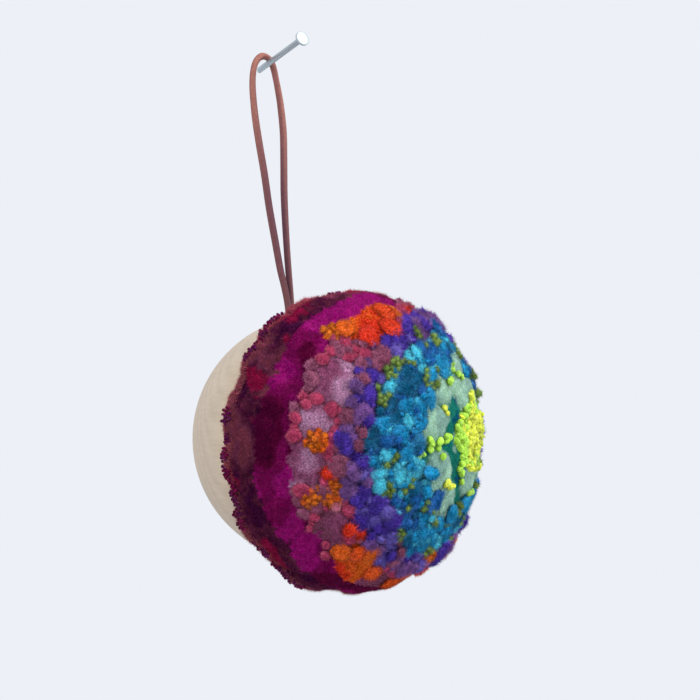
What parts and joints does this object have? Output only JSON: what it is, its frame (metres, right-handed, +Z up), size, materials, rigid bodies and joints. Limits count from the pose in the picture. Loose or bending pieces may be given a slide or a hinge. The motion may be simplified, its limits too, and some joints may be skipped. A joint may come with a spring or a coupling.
{
  "type": "yarn pom pom ornament on a wall nail",
  "caption": "Hanging ornament: a domed cap of many-coloured wool pile on a flat-backed turned wood ball, hung by a doubled leather lace over a slanting wall nail.",
  "frame": {"origin": "middle of the nail where it leaves the wall, on the wall's plane", "axes": "+Z up, +Y into the wall, so the wool cap faces -Y, and +X to the right for someone who faces the wall"},
  "size_m": [0.076, 0.0616, 0.1388],
  "materials": {
    "wool": "sheared and knotted wool pile, fuzzy",
    "wood": "sanded, unvarnished",
    "leather": "matte round lace",
    "steel": "bright wire nail"
  },
  "bodies": {
    "root": {"wool_dome": "wool", "wood_ball": "wood", "cord_loop": "leather", "nail": "steel"}
  },
  "joints": []
}
